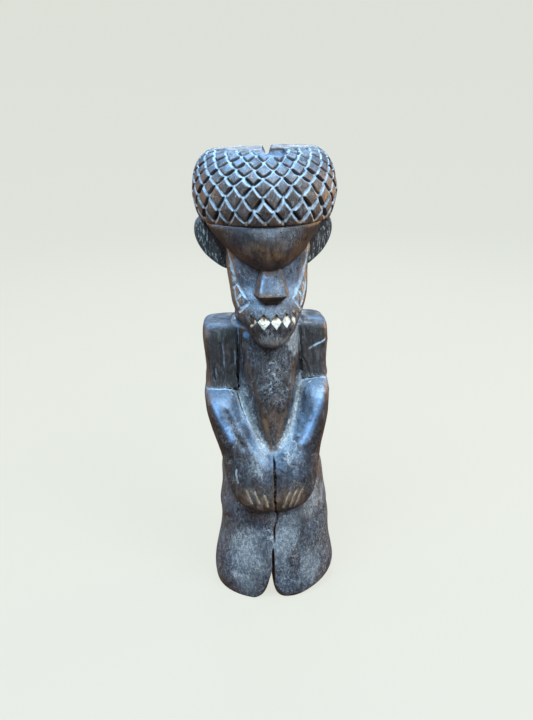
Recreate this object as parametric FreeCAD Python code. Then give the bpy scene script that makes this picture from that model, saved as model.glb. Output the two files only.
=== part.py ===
"""Carved hardwood ancestor figure, 450 mm tall, standing on a flat-cut base.

The real object is one log, about 130 mm across, carved all over, with white filler in the mouth.  Here
the log is divided along its carved creases, so that each carved volume is a closed solid of its own that
meets its neighbours face to face: hair cap, forehead, ears, skull and neck, face, nose, torso, upper arms,
forearms, hands, hips and legs.  Each lump of mouth filler is a separate solid in its own pocket.

Frame: millimetres, +Z up, the figure faces -Y, its own left side is +X.  The origin is the middle of the
underside of the overall box.  Left and right in the names are the figure's own.
"""

import FreeCAD, Part

import math
import os

Vector = FreeCAD.Vector

# ---- driving dimensions -------------------------------------------------------------------------
HEIGHT = 450.0  # floor to the flat on top of the hair cap
RIM_Z = 385.0  # underside of the hair cap
SHOULDER_Z = 284.5  # flat tops of the shoulders
CHIN_Z = 270.0  # lowest point of the chin
RIGHT_ELBOW_Z = 221.0  # ledge where the right forearm starts
LEFT_ELBOW_Z = 228.0  # ledge where the left forearm starts
WRIST_Z = 134.0  # plane between forearm and hand
FINGERTIP_Z = 104.0
CROTCH_Z = 84.0  # top of the slot between the legs

HAND_SPLIT_X = -1.5  # drying crack between the two hands
SLOT_X = -4.5  # middle of the slot between the legs
SLOT_WIDTH = 2.8
SLOT_TOP_WIDTH = 1.0  # where it runs up into a crack
SLOT_BEND_Z = 32.0

NOTCH_X = 0.0  # notch across the top of the hair cap, here where it meets the chipped step's back wall
NOTCH_TOP_WIDTH = 8.4
NOTCH_FLOOR_WIDTH = 3.2
NOTCH_DEPTH = 4.7
NOTCH_SKEW = 0.095  # its drift to the right for each mm towards the back
NOTCH_FALL = 0.094  # and the fall of its floor
REBATE_WIDTH = 10.8  # chipped step beside the notch, at the front
REBATE_START = 30.0  # its back wall, measured forwards from the axis
REBATE_DEPTH = 5.8

MOUTH_Z = 296.8  # line where the pointed lips touch
MOUTH_UP = 7.2  # height of each white lump above that line
MOUTH_DOWN = 7.4  # and below it
MOUTH_TIPS_X = (-20.5, -14.3, -2.3, 8.4, 17.3, 21.8)  # where upper and lower points touch
LIP_BRIDGE = 0.4  # wood left where two lip points touch
POCKET_DEPTH = 3.5  # mouth pockets, from the skin inwards
FILLER_RECESS = 1.0  # the filler lies this far below the skin

FINGER_GROOVE_WIDTH = 2.0
FINGER_GROOVE_DEPTH = 1.8

OUTLINE_POINTS = 28  # points round one cross-section


# ---- shared shapes ------------------------------------------------------------------------------
def outline(z, left, right, front, back, middle, power, lean=0.0):
    """A closed oval at height z. Its widest line lies at y = middle; power 2 is an ellipse, more is squarer.
    lean moves the foremost point sideways."""
    centre, half = (left + right) / 2, (right - left) / 2
    points = []
    for i in range(OUTLINE_POINTS):
        t = 2 * math.pi * i / OUTLINE_POINTS
        c, s = math.cos(t), math.sin(t)
        reach = (middle - front) if s < 0 else (back - middle)
        x = centre + half * math.copysign(abs(c) ** (2 / power), c) + lean * min(s, 0.0) ** 2
        y = middle + reach * math.copysign(abs(s) ** (2 / power), s)
        points.append(Vector(x, y, z))
    curve = Part.BSplineCurve()
    curve.interpolate(Points=points, PeriodicFlag=True)
    return Part.Wire([curve.toShape()])


def carved_form(sections, middle=0.0, power=2.0, lean=0.0):
    """A smooth solid through sections (z, left, right, front, back), optionally with own middle and power."""
    wires = []
    for section in sections:
        z, left, right, front, back = section[:5]
        own_middle = section[5] if len(section) > 5 else middle
        own_power = section[6] if len(section) > 6 else power
        wires.append(outline(z, left, right, front, back, own_middle, own_power, lean))
    return Part.makeLoft(wires, True, False)


def block(x0, x1, y0, y1, z0, z1):
    """An upright box between two corners."""
    return Part.makeBox(x1 - x0, y1 - y0, z1 - z0, Vector(x0, y0, z0))


def prism(points, direction):
    """A straight extrusion of a flat polygon."""
    face = Part.Face(Part.makePolygon(points + points[:1]))
    return face.extrude(direction)


def facets(lower, upper):
    """A solid with straight facets between two polygons of the same number of corners."""
    wires = [Part.makePolygon(ring + ring[:1]) for ring in (lower, upper)]
    return Part.makeLoft(wires, True, True)


# ---- head ---------------------------------------------------------------------------------------
def make_hair_cap():
    """Domed cap of hair with a flat top, a notch from front to back, and a chipped step beside it."""
    dome = carved_form(
        [
            (RIM_Z, -61, 61, -61, 60),
            (392, -64.5, 64, -64, 63),
            (401, -67, 66.5, -66, 65.5),
            (412, -68, 68, -66, 66),
            (422, -67, 66.5, -64.5, 65),
            (431, -65, 64.5, -61, 61.5),
            (439, -61, 60.5, -55, 54),
            (446, -54.5, 54.5, -45, 41),
            (HEIGHT, -46, 46, -32, 22),
        ],
    )
    half_top, half_floor = NOTCH_TOP_WIDTH / 2, NOTCH_FLOOR_WIDTH / 2
    end = 80
    front, back = [], []
    for ring, y in ((front, -end), (back, end)):
        x = NOTCH_X + NOTCH_SKEW * (y + REBATE_START)
        floor = HEIGHT - NOTCH_DEPTH - NOTCH_FALL * (y + REBATE_START)
        ring.append(Vector(x - half_floor, y, floor))
        ring.append(Vector(x + half_floor, y, floor))
        ring.append(Vector(x + half_top, y, HEIGHT + 1))
        ring.append(Vector(x - half_top, y, HEIGHT + 1))
    notch = facets(front, back)
    step_floor = HEIGHT - REBATE_DEPTH
    step_end = NOTCH_X + half_top + REBATE_WIDTH
    step = block(NOTCH_X - half_floor, step_end, -end, -REBATE_START, step_floor, HEIGHT + 1)
    return dome.cut(notch.fuse(step))


def make_forehead():
    """Bulging brow that overhangs the face, pointed like a lens seen from the front."""
    return carved_form(
        [
            (343.0, -7, 4, -49, -38, -44),
            (345.5, -15, 13, -53, -30, -40),
            (349, -22, 20.5, -56, -25, -35),
            (354, -29.5, 28, -59, -20, -30),
            (361, -37.5, 35.5, -61, -15, -25),
            (369, -45, 41.5, -61.5, -10, -20),
            (377, -51.5, 47, -60.5, -8, -18),
            (RIM_Z, -56.5, 51.5, -58, -5, -15),
        ],
    )


def make_skull_and_neck():
    """The back and inside of the head below the cap, running down into the neck."""
    return carved_form(
        [
            (SHOULDER_Z, -31, 30, -20, 41),
            (300, -31, 30.5, -20, 40),
            (315, -33, 32.5, -20, 41),
            (332, -36, 35, -22, 44),
            (346, -39, 38, -25, 49),
            (358, -45, 44, -30, 53),
            (372, -53, 52, -36, 57),
            (RIM_Z, -57, 57, -38, 58),
        ],
        middle=4.0,
    )


def make_face():
    """Cheeks, jaw and rounded chin, without the nose."""
    return carved_form(
        [
            (CHIN_Z, -9, 8, -50, -34, -42),
            (273, -14, 13.5, -53, -26, -38),
            (279, -19.5, 19.5, -56, -20, -34),
            (288, -25.5, 25.5, -58, -12, -28),
            (298, -31, 30, -58, -8, -24),
            (308, -34.5, 34, -54.5, -6, -20),
            (318, -36, 36.5, -49.5, -4, -18),
            (330, -37.5, 37.5, -46, -2, -16),
            (346, -39, 38.5, -44.5, 0, -14),
            (365, -40, 39, -44, 0, -14),
            (RIM_Z, -41, 40, -44, 0, -14),
        ],
        power=2.2,
    )


def make_nose():
    """Wedge-shaped nose with a flat front, spreading downwards, and a scooped underside."""
    top_z, edge_z, tip_z = 346.0, 321.5, 310.5

    def ring(z, front, root, half_front, half_root):
        centre, back = 0.0, -36
        return [
            Vector(centre - half_root, back, z),
            Vector(centre - half_root, root, z),
            Vector(centre - half_front, front, z),
            Vector(centre + half_front, front, z),
            Vector(centre + half_root, root, z),
            Vector(centre + half_root, back, z),
        ]

    edge = ring(edge_z, -62, -50.5, 12.8, 16.0)
    bridge = facets(edge, ring(top_z, -47, -42.5, 6.0, 8.6))
    underside = facets(ring(tip_z, -51, -47, 3.5, 4.5), edge)
    return bridge.fuse(underside)


def make_ear(side):
    """A flat flap, round at the top, tapering to the cheek. side is -1 for the right ear, +1 for the left."""
    middle = -0.5
    spread, drop = (1.0, 0.0) if side < 0 else (0.955, -0.5)  # the left ear stands out less
    front, back = -6.0, 14.0
    edge = [(58, 387), (64.5, 384), (67, 377), (66.5, 370), (63, 361)]
    edge += [(57, 352), (49, 344.5), (41, 339), (34, 337)]
    points = [Vector(middle + side * spread * x, front, z + drop) for x, z in edge]
    curve = Part.BSplineCurve()
    curve.interpolate(Points=points)
    inner_low = Vector(middle + side * 25, front, 337 + drop)
    inner_high = Vector(middle + side * 25, front, 387 + drop)
    sides = [
        Part.makeLine(points[-1], inner_low),
        Part.makeLine(inner_low, inner_high),
        Part.makeLine(inner_high, points[0]),
    ]
    wire = Part.Wire([curve.toShape()] + sides)
    return Part.Face(wire).extrude(Vector(0, back - front, 0))


def make_mouth_cells():
    """One lozenge-shaped prism for each gap between the pointed lips, half a lozenge at each end."""
    cells = []
    last = len(MOUTH_TIPS_X) - 2
    for i, (low, high) in enumerate(zip(MOUTH_TIPS_X, MOUTH_TIPS_X[1:])):
        low, high = low + LIP_BRIDGE / 2, high - LIP_BRIDGE / 2
        peak = low if i == 0 else high if i == last else (low + high) / 2
        corners = [
            Vector(low, -80, MOUTH_Z),
            Vector(peak, -80, MOUTH_Z - MOUTH_DOWN),
            Vector(high, -80, MOUTH_Z),
            Vector(peak, -80, MOUTH_Z + MOUTH_UP),
        ]
        if i in (0, last):  # a half lozenge has its points straight above and below its outer end
            corners = [corners[1], corners[2] if i == 0 else corners[0], corners[3]]
        cells.append(prism(corners, Vector(0, 60, 0)))
    return cells


# ---- body ---------------------------------------------------------------------------------------
def make_torso():
    """Neck column, chest and rounded belly, between the arms."""
    return carved_form(
        [
            (148, -33, 31, -40, 36),
            (165, -34, 32, -43.5, 38),
            (190, -35, 33, -44, 40),
            (215, -35.5, 33.5, -43, 43),
            (240, -36, 34, -40, 46),
            (265, -36, 34, -37, 47),
            (SHOULDER_Z, -36, 34, -34, 44),
        ],
        power=2.3,
    )


def make_upper_arm(side):
    """Upright block from the flat shoulder to the elbow ledge, set back from the forearm."""
    elbow = RIGHT_ELBOW_Z if side < 0 else LEFT_ELBOW_Z
    middle, outer = -2.5, 60.8
    levels = [(elbow, 1.0), ((elbow + SHOULDER_Z) / 2, 0.0), (278, 0.0), (SHOULDER_Z, -1.5)]
    sections = []
    for z, swell in levels:
        edges = sorted((middle + side * 10, middle + side * (outer + swell)))
        sections.append((z, edges[0], edges[1], -22 - swell / 2, 36 + swell))
    return carved_form(sections, middle=6.0, power=4.0)


FOREARM = [  # z, outer edge, inner edge, front, back, widest line: sizes either side of the hand split
    (221, 60.5, 36, -27, 30, 2),
    (218, 63.0, 33, -36, 31, -2),
    (211, 64.0, 31, -43, 30, -6),
    (197, 62.5, 26, -47, 24, -12),
    (181, 58.0, 18, -51, 12, -20),
    (163, 52.0, 4, -55.5, -4, -30),
    (148, 48.5, -10, -60, -18, -38),
]
HAND = [
    (WRIST_Z, 45.5, -12, -63.0, -30, -46),
    (123, 41.5, -12, -65.0, -38, -52),
    (114, 35.5, -12, -65.5, -44, -56),
    (108, 27.5, -10, -64.5, -48, -57),
    (FINGERTIP_Z, 18.0, -6, -61, -51, -57),
]


def arm_sections(side, rows, scale):
    """Turns outer and inner edges of one arm into left and right edges, on the asked side of the body."""
    elbow_shift = LEFT_ELBOW_Z - RIGHT_ELBOW_Z if side > 0 else 0.0
    sections = []
    for z, outer, inner, front, back, middle in rows:
        lift = elbow_shift * max(0.0, (z - 190.0) / (RIGHT_ELBOW_Z - 190.0))
        edges = sorted((HAND_SPLIT_X + side * outer * scale, HAND_SPLIT_X + side * inner * scale))
        sections.append((z + lift, edges[0], edges[1], front, back, middle))
    return sections


def make_arm(side):
    """Forearm and hand in one smooth form, cut off at the crack between the hands."""
    scale = 1.0 if side < 0 else 0.94  # the left arm is a little slimmer
    whole = carved_form(arm_sections(side, FOREARM + HAND, scale), power=2.3)
    across = block(*sorted((HAND_SPLIT_X, -side * 90)), -90, 90, 90, 240)
    return whole.cut(across)


def make_finger_grooves(side):
    """Three shallow grooves down the back of a hand, fanning out from the wrist."""
    grooves = []
    for top_x, low_x in ((12, 9), (22, 16), (32, 22)):
        top = Vector(HAND_SPLIT_X + side * top_x, 0, 128)
        low = Vector(HAND_SPLIT_X + side * low_x, 0, FINGERTIP_Z - 2)
        along = (low - top).normalize()
        across = Vector(along.z, 0, -along.x) * (FINGER_GROOVE_WIDTH / 2)
        deep = Vector(0, -65.5 + FINGER_GROOVE_DEPTH, 0)
        near = Vector(0, -76, 0)
        corners = [top - across + near, top + across + near, top + deep]
        grooves.append(prism(corners, low - top))
    return grooves


def make_hips():
    """Belly bottom, hips and buttocks, from the waist down to the top of the slot."""
    return carved_form(
        [
            (CROTCH_Z, -53.5, 57, -58, 54),
            (104, -52, 55.5, -58, 56),
            (122, -51, 53.5, -56.5, 57),
            (136, -50, 51, -54, 54),
            (147, -45, 45, -49, 47),
            (155, -36, 35, -40, 38),
        ],
        power=2.1,
    )


def make_legs():
    """Both legs as one form, swelling to the flat-cut base. The slot divides it afterwards."""
    return carved_form(
        [
            (0, -61, 62, -57, 51),
            (6, -62, 63.5, -58, 52),
            (18, -62.3, 64.5, -58.5, 52.5),
            (34, -60, 62.5, -58.5, 53),
            (54, -55.5, 59.5, -58.5, 53.5),
            (CROTCH_Z, -53.5, 57, -58, 54),
        ],
        power=2.1,
    )


def make_foot_form(side):
    """What one leg may fill: the foot is well rounded at the front and towards the slot."""
    if side < 0:
        lean = 3.0
        rows = [
            (0, -67, -9.5, -53, 4, 3.2),
            (5, -69, -8.3, -58, 4, 3.4),
            (14, -70, -7.0, -63, 4, 3.8),
            (30, -72, -6.1, -74, 4, 5.0),
        ]
    else:  # the outer front corner of the left foot is trimmed away obliquely
        lean = -14.0
        rows = [
            (0, -2.4, 53, -54, 20, 2.3),
            (5, -2.6, 56, -58, 18, 2.6),
            (14, -2.8, 61.5, -62, 14, 3.4),
            (30, -3, 71, -74, 8, 5.0),
        ]
    sections = []
    for z, left, right, front, middle, power in rows:
        sections.append((z, left, right, front, 90, middle, power))
    sections.append((CROTCH_Z, left - 3, right + 3, front - 20, 90, middle, 9.0))
    return carved_form(sections, lean=lean)


def beyond_slot(side):
    """The space that one leg leaves to the other: the slot narrows upwards to a crack."""
    low = SLOT_X + side * SLOT_WIDTH / 2
    high = SLOT_X + side * SLOT_TOP_WIDTH / 2
    far, top = -side * 90, CROTCH_Z + 1
    ring = [(low, -1), (low, SLOT_BEND_Z), (high, top), (far, top), (far, -1)]
    return facets(*([Vector(x, y, z) for x, z in ring] for y in (-90, 90)))


# ---- assembly -----------------------------------------------------------------------------------
def without(solid, *neighbours):
    """The solid with the space of its neighbours taken out, so that they meet face to face."""
    for other in neighbours:
        solid = solid.cut(other)
    solids = sorted(solid.Solids, key=lambda s: s.Volume)
    return solids[-1]  # slivers cut loose by a neighbour belong to no piece


def make_nodes():
    """Every named piece of the figure."""
    cap = make_hair_cap()
    skull = make_skull_and_neck()
    whole_forehead = make_forehead()
    whole_face = make_face()
    torso_form = make_torso()
    hips = make_hips()

    nodes = {"hair_cap": cap, "skull_and_neck": skull, "hips": hips}
    nodes["torso"] = without(torso_form, hips)
    nodes["forehead"] = without(whole_forehead, skull)
    face = without(whole_face, skull, whole_forehead, torso_form)
    nodes["nose"] = without(make_nose(), whole_face, whole_forehead)

    floor = whole_face.copy()
    floor.translate(Vector(0, POCKET_DEPTH, 0))
    skin = whole_face.copy()
    skin.translate(Vector(0, FILLER_RECESS, 0))
    for i, cell in enumerate(make_mouth_cells(), start=1):
        pocket = cell.cut(floor)
        face = without(face, pocket)
        nodes[f"mouth_filler_{i}"] = without(pocket.common(skin))
    nodes["face"] = face

    for name, side in (("right", -1), ("left", 1)):
        upper_arm = without(make_upper_arm(side), torso_form)
        arm = without(make_arm(side), torso_form, hips, make_upper_arm(side))
        hand = arm.common(block(-90, 90, -90, 90, FINGERTIP_Z - 1, WRIST_Z))
        forearm = arm.common(block(-90, 90, -90, 90, WRIST_Z, 240))
        nodes[f"{name}_ear"] = without(make_ear(side), cap, skull, whole_forehead, whole_face)
        nodes[f"{name}_upper_arm"] = upper_arm
        nodes[f"{name}_forearm"] = without(forearm)
        nodes[f"{name}_hand"] = without(hand, *make_finger_grooves(side))

    legs = make_legs()
    for name, side in (("right_leg", -1), ("left_leg", 1)):
        nodes[name] = without(legs.common(make_foot_form(side)), beyond_slot(side))
    return nodes


def main():
    os.makedirs("parts", exist_ok=True)
    for name, shape in sorted(make_nodes().items()):
        shape.exportStep(os.path.join("parts", name + ".step"))
        print(f"{name:18s} solids {len(shape.Solids)} valid {shape.isValid()} {shape.Volume / 1000:8.1f} cm3")


main()
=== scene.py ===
"""Looks of the carved ancestor figure. The CAD nodes are remeshed, joined along their creases, carved in
detail and split again into named pieces, each with a procedural wood or clay material."""

import math
from itertools import product

import bpy
import numpy as np
from mathutils import Matrix, Vector
from mathutils.bvhtree import BVHTree
from mathutils.kdtree import KDTree


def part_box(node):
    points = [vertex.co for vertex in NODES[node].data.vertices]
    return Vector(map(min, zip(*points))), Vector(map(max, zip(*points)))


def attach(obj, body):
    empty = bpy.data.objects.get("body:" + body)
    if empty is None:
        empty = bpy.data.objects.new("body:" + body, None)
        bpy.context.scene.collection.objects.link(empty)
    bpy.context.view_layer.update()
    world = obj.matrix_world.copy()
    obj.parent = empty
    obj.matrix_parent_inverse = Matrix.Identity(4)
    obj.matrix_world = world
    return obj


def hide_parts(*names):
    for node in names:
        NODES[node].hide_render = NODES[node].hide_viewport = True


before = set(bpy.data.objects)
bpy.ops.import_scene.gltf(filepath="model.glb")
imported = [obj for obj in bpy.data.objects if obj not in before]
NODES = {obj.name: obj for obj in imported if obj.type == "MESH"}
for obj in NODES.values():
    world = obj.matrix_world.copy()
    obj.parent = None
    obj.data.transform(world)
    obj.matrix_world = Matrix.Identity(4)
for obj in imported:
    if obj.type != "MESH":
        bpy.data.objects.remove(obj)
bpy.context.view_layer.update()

COARSE = 1.0  # multiplies every voxel size below; above 1 the meshes come out coarser
HEAD_VOXEL = 0.75 * COARSE  # mm
FACE_VOXEL = 0.49 * COARSE
BODY_VOXEL = 0.8 * COARSE
FILLER_VOXEL = 0.34 * COARSE

UPPER_ARMS = ("right_upper_arm", "left_upper_arm")
FOREARMS = ("right_forearm", "left_forearm")
HANDS = ("right_hand", "left_hand")
LEGS = ("hips", "right_leg", "left_leg")


def box_mm(node):
    low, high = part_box(node)
    return np.array(low) * 1000, np.array(high) * 1000


# ---- numbers on meshes: everything here is in millimetres -----------------------------------------
def clean_mesh(node, grow=0.0):
    """Merged triangles of a CAD node, pushed outwards by grow."""
    mesh = NODES[node].data
    co = np.empty(len(mesh.vertices) * 3)
    mesh.vertices.foreach_get("co", co)
    co = co.reshape(-1, 3) * 1000
    mesh.calc_loop_triangles()
    tris = np.empty(len(mesh.loop_triangles) * 3, int)
    mesh.loop_triangles.foreach_get("vertices", tris)
    keys, index = np.unique(np.round(co, 3), axis=0, return_inverse=True)
    tris = index.ravel()[tris].reshape(-1, 3)
    keep = (tris[:, 0] != tris[:, 1]) & (tris[:, 1] != tris[:, 2]) & (tris[:, 0] != tris[:, 2])
    tris = tris[keep]
    if grow:
        keys = keys + vertex_normals(keys, tris) * grow
    return keys, tris


def vertex_normals(co, faces):
    if faces.shape[1] == 3:
        a, b, c = (co[faces[:, k]] for k in range(3))
        n = np.cross(b - a, c - a)
    else:
        n = np.cross(co[faces[:, 2]] - co[faces[:, 0]], co[faces[:, 3]] - co[faces[:, 1]])
    total = np.zeros_like(co)
    for k in range(3):
        weights = np.repeat(n[:, k], faces.shape[1])
        total[:, k] = np.bincount(faces.ravel(), weights, len(co))
    return total / np.maximum(np.linalg.norm(total, axis=1), 1e-9)[:, None]


def smooth_step(x, low, high):
    t = np.clip((x - low) / (high - low), 0, 1)
    return t * t * (3 - 2 * t)


HASH_STEPS = np.array([374761393, 668265263, 2147483647])  # large odd numbers, one for each axis
HASH_MIX = 1274126177
HASH_RANGE = 0xFFFF


def noise(p, size, seed=0, octaves=1):
    """Smooth value noise from -1 to 1 with features of about size mm. size may be one number or three."""
    out, amplitude, total = 0.0, 1.0, 0.0
    q = p / np.asarray(size, float)
    for octave in range(octaves):
        f = np.floor(q)
        t = q - f
        t = t * t * (3 - 2 * t)
        base = f.astype(np.int64) + seed * 57 + octave * 131
        value = 0.0
        for corner in product((0, 1), repeat=3):
            h = ((base + corner) * HASH_STEPS).sum(1)
            h = (h ^ (h >> 13)) * HASH_MIX
            h = (h ^ (h >> 16)) & HASH_RANGE
            share = np.where(corner, t, 1 - t)
            value = value + (h / (HASH_RANGE / 2) - 1) * (share[:, 0] * share[:, 1]) * share[:, 2]
        out = out + value * amplitude
        total += amplitude
        amplitude *= 0.5
        q = q * 2.03 + 17.3
    return out / total


class Skin:
    """The outer surface of several CAD nodes as one quad mesh, with a node label on each face.

    Its marks are numbers on the vertices that the materials read: groove is dust in a cut, partly painted
    light on the hair's up-facing cut walls, pit dark cracks and painted shade on the hair's steep cut walls,
    rough raw wood, bloom a pale film, brown worn wood, painted_sheen a painted blue-grey sky sheen and
    painted highlights, dull less gloss, hollow and deep the small and the large hollows, the large ones
    darkened as painted shade, and lost the places where clay has fallen out."""

    def __init__(self, nodes, voxel):
        self.nodes = list(nodes)
        verts, tris, start = [], [], 0
        for node in self.nodes:
            v, t = clean_mesh(node, grow=0.15)
            verts.append(v)
            tris.append(t + start)
            start += len(v)
        mesh = bpy.data.meshes.new("block")
        mesh.from_pydata(np.concatenate(verts) / 1000, [], np.concatenate(tris).tolist())
        block = bpy.data.objects.new("block", mesh)
        bpy.context.scene.collection.objects.link(block)
        remesh = block.modifiers.new("remesh", "REMESH")
        remesh.mode, remesh.voxel_size, remesh.adaptivity = "VOXEL", voxel / 1000, 0.0
        made = bpy.data.meshes.new_from_object(block.evaluated_get(bpy.context.evaluated_depsgraph_get()))
        co = np.empty(len(made.vertices) * 3)
        made.vertices.foreach_get("co", co)
        self.co = co.reshape(-1, 3) * 1000
        faces = np.empty(len(made.loops), int)
        made.loops.foreach_get("vertex_index", faces)
        self.faces = faces.reshape(-1, 4)
        bpy.data.objects.remove(block)
        bpy.data.meshes.remove(made)
        bpy.data.meshes.remove(mesh)
        self.find_edges()
        self.label()
        self.marks = {}

    def find_edges(self):
        pairs = np.concatenate([self.faces[:, [k, (k + 1) % 4]] for k in range(4)])
        pairs.sort(axis=1)
        self.edges = np.unique(pairs, axis=0)
        self.degree = np.bincount(self.edges.ravel(), minlength=len(self.co)).astype(float)

    def label(self):
        """Each face belongs to the CAD node whose surface is nearest, with ragged borders evened out."""
        best = np.full(len(self.co), 1e9)
        vertex_label = np.zeros(len(self.co), int)
        for number, node in enumerate(self.nodes):
            v, t = clean_mesh(node)
            tree = BVHTree.FromPolygons(v.tolist(), t.tolist())
            for i in np.nonzero(self.within(v.min(0) - 2, v.max(0) + 2))[0]:
                distance = tree.find_nearest(self.co[i], 3.0)[3]
                if distance is not None and distance < best[i]:
                    best[i], vertex_label[i] = distance, number
        count = len(self.nodes)
        face_label = vertex_label[self.faces[:, 0]]
        for _ in range(8):
            score = np.zeros((len(self.co), count))
            for k in range(4):
                np.add.at(score, (self.faces[:, k], face_label), 1)
            face_label = score[self.faces].sum(1).argmax(1)
        self.face_label, self.vertex_label = face_label, vertex_label

    def within(self, low, high):
        """True for the vertices inside a box."""
        return np.all((self.co > low) & (self.co < high), axis=1)

    def on(self, *nodes):
        """1 on the vertices of the named nodes, 0 elsewhere."""
        wanted = [self.nodes.index(n) for n in nodes]
        return np.isin(self.vertex_label, wanted).astype(float)

    def mean(self, values):
        """Each vertex's neighbours, averaged."""
        i, j = self.edges.T
        n = len(self.co)
        if values.ndim == 1:
            return (np.bincount(i, values[j], n) + np.bincount(j, values[i], n)) / self.degree
        return np.stack([self.mean(values[:, k]) for k in range(values.shape[1])], axis=1)

    def relax(self, rounds, weight=1.0):
        weight = np.broadcast_to(weight, len(self.co))[:, None] * 0.5
        for _ in range(rounds):
            self.co += (self.mean(self.co) - self.co) * weight

    def spread(self, values, rounds):
        for _ in range(rounds):
            values = (values + self.mean(values)) / 2
        return values

    def normals(self):
        return vertex_normals(self.co, self.faces)

    def push(self, amount):
        """Moves the surface along its normals; amounts below 0 cut into the wood."""
        self.co += self.normals() * amount[:, None]

    def hollowness(self, rounds):
        """Signed height difference from a smoothed copy: above 0 in hollows, below 0 on ridges."""
        smooth = self.co.copy()
        for _ in range(rounds):
            smooth = (smooth + self.mean(smooth)) / 2
        return ((smooth - self.co) * self.normals()).sum(1)

    def drape(self, node, path, back=False):
        """Lays a path, in fractions of a node's width and height, on the front or the back of the surface."""
        low, high = box_mm(node)
        flat = low[[0, 2]] + np.array(path) * (high - low)[[0, 2]]
        dense = [flat[0]]
        for a, b in zip(flat, flat[1:]):
            steps = max(1, int(np.linalg.norm(b - a) / 2.5))
            dense += [a + (b - a) * k / steps for k in range(1, steps + 1)]
        points = []
        for x, z in dense:
            gap = np.hypot(self.co[:, 0] - x, self.co[:, 2] - z)
            close = self.co[gap < gap.min() + 0.8]
            points.append((x, close[:, 1].max() if back else close[:, 1].min(), z))
        return points

    def cut_path(self, path, half_width, depth, wander=0.0):
        """Cuts a V along a path in space, thinner at its ends, and returns how deep it is, from 0 to 1."""
        path = np.array(path)
        margin = half_width + 2
        near = np.nonzero(self.within(path.min(0) - margin, path.max(0) + margin))[0]
        points = self.co[near]
        if wander:
            shift = np.stack([noise(points, 4.5, seed, 2) for seed in (61, 62, 63)], axis=1)
            points = points + shift * wander
        distance, place = along(points, path)
        taper = np.clip(np.minimum(place, 1 - place) * 8, 0.25, 1)
        amount = np.zeros(len(self.co))
        amount[near] = np.clip(1 - distance / (half_width * (0.5 + 0.5 * taper)), 0, 1) * taper
        self.push(-depth * amount)
        return amount

    def spot(self, node, centre, radius):
        """A soft patch on the front. Its centre is in fractions of the node's size, its radius in mm."""
        low, high = box_mm(node)
        x = low[0] + centre[0] * (high[0] - low[0])
        z = low[2] + centre[1] * (high[2] - low[2])
        away = np.hypot((self.co[:, 0] - x) / radius[0], (self.co[:, 2] - z) / radius[1])
        away += 0.35 * noise(self.co, 6, 91, 3)
        return smooth_step(away, 1.25, 0.35) * smooth_step(-self.normals()[:, 1], -0.2, 0.3)

    def spots(self, table):
        """Soft patches added up, each with its strength, node, centre and radius."""
        return sum(strength * self.spot(node, centre, radius) for strength, node, centre, radius in table)

    def mark(self, name, values):
        """Raises a mark to these values where it is lower."""
        self.marks[name] = np.maximum(self.marks.get(name, 0.0), values)

    def seam_distance(self, a, b, reach):
        """Distance in mm from each vertex to the border between two groups of nodes, up to reach."""
        in_a, in_b = self.on(*a) > 0, self.on(*b) > 0
        i, j = self.edges.T
        touch = (in_a[i] & in_b[j]) | (in_b[i] & in_a[j])
        points = (self.co[i[touch]] + self.co[j[touch]]) / 2
        tree = KDTree(len(points))
        for k, point in enumerate(points):
            tree.insert(point, k)
        tree.balance()
        distance = np.full(len(self.co), float(reach))
        near = self.within(points.min(0) - reach, points.max(0) + reach)
        for k in np.nonzero(near & (in_a | in_b))[0]:
            distance[k] = min(reach, tree.find(self.co[k])[2])
        return distance

    def facet(self, size, strength, seed, weight=1.0):
        """Flattens the surface a little in patches, as a blade leaves it."""
        rng = np.random.default_rng(seed)
        a, b = self.edges[:2000].T
        area = len(self.co) * np.linalg.norm(self.co[a] - self.co[b], axis=1).mean() ** 2
        seeds = self.co[rng.choice(len(self.co), int(area / size**2), replace=False)]
        tree = KDTree(len(seeds))
        for k, point in enumerate(seeds):
            tree.insert(point, k)
        tree.balance()
        cell = np.array([tree.find(point)[1] for point in self.co])
        count = np.maximum(np.bincount(cell, minlength=len(seeds)), 1)[:, None]
        normals = self.normals()
        centre = np.stack([np.bincount(cell, self.co[:, k], len(seeds)) for k in range(3)], axis=1) / count
        facing = np.stack([np.bincount(cell, normals[:, k], len(seeds)) for k in range(3)], axis=1)
        size_of = np.linalg.norm(facing, axis=1)
        flatness = np.clip((size_of / count[:, 0] - 0.8) * 6, 0, 1)  # cells that wrap an edge are left alone
        facing /= np.maximum(size_of, 1e-9)[:, None]
        height = ((self.co - centre[cell]) * facing[cell]).sum(1)
        self.co -= facing[cell] * (height * flatness[cell] * strength * weight)[:, None]
        self.relax(1)

    def follow(self, node, weight):
        """Draws vertices onto the CAD surface of a node, which keeps its sharp edges."""
        v, t = clean_mesh(node)
        tree = BVHTree.FromPolygons(v.tolist(), t.tolist())
        for k in np.nonzero(weight > 0.01)[0]:
            place, _, _, distance = tree.find_nearest(self.co[k])
            if distance < 1.2:
                self.co[k] += (np.array(place) - self.co[k]) * weight[k]

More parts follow.
